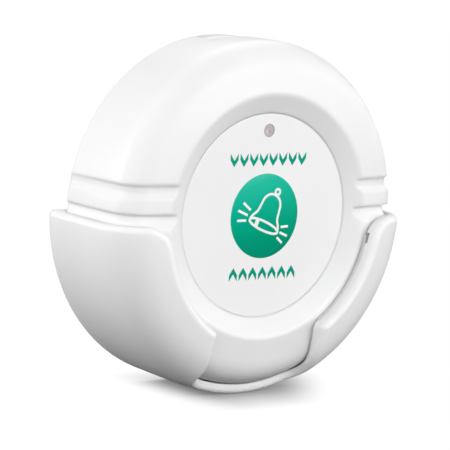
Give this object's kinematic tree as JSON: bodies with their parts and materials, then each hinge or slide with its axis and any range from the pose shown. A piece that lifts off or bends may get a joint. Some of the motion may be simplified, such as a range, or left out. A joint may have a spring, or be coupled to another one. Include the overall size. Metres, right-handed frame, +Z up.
{
  "type": "nurse call button",
  "caption": "Round battery-powered radio call button with a press cap in a dished front, standing in a half-cup wall holder that wraps around its lower half.",
  "frame": {"origin": "on the wall plane, on the axis of the round call unit", "axes": "+Z up, +Y into the wall, so the front faces -Y"},
  "size_m": [0.0816, 0.0299, 0.0792],
  "materials": {
    "holder_plastic": "satin",
    "housing_plastic": "satin",
    "cap_plastic": "satin",
    "label_film": "satin",
    "lens_plastic": "gloss",
    "seal_rubber": "matte",
    "screw_steel": "satin",
    "board_laminate": "satin",
    "switch_plastic": "matte",
    "plunger_plastic": "matte",
    "spring_steel": "satin",
    "lamp_resin": "gloss",
    "cell_steel": "satin",
    "tray_plastic": "matte",
    "contact_brass": "satin",
    "chip_plastic": "matte",
    "can_steel": "satin"
  },
  "bodies": {
    "holder": {"wall_holder": "holder_plastic"},
    "call_unit": {"front_housing": "housing_plastic", "rear_cover": "housing_plastic", "seal_ring": "seal_rubber", "cover_screws": "screw_steel", "circuit_board": "board_laminate", "board_screws": "screw_steel", "status_led": "lamp_resin", "switch_body": "switch_plastic", "return_spring": "spring_steel", "coin_battery": "cell_steel", "battery_holder": "tray_plastic", "battery_contact": "contact_brass", "battery_clip": "contact_brass", "radio_can": "can_steel", "encoder_chip": "chip_plastic", "crystal_can": "can_steel", "chip_parts": "chip_plastic", "antenna_loop": "contact_brass"},
    "button": {"button_cap": "cap_plastic", "face_label": "label_film", "led_lens": "lens_plastic"},
    "plunger": {"switch_plunger": "plunger_plastic"}
  },
  "joints": [
    {"name": "lift_out", "type": "slide", "parent": "holder", "child": "call_unit", "axis": [0, 0, 1], "range_m": [0, 0.042]},
    {"name": "button_press", "type": "slide", "parent": "call_unit", "child": "button", "axis": [0, 1, 0], "range_m": [0, 0.0006], "stiffness_N_per_m": 1500, "deforming": ["return_spring"]},
    {"name": "plunger_press", "type": "slide", "parent": "call_unit", "child": "plunger", "axis": [0, 1, 0], "range_m": [0, 0.0006]}
  ],
  "couplings": [
    {"joint": "plunger_press", "follows": "button_press", "ratio": 1}
  ]
}
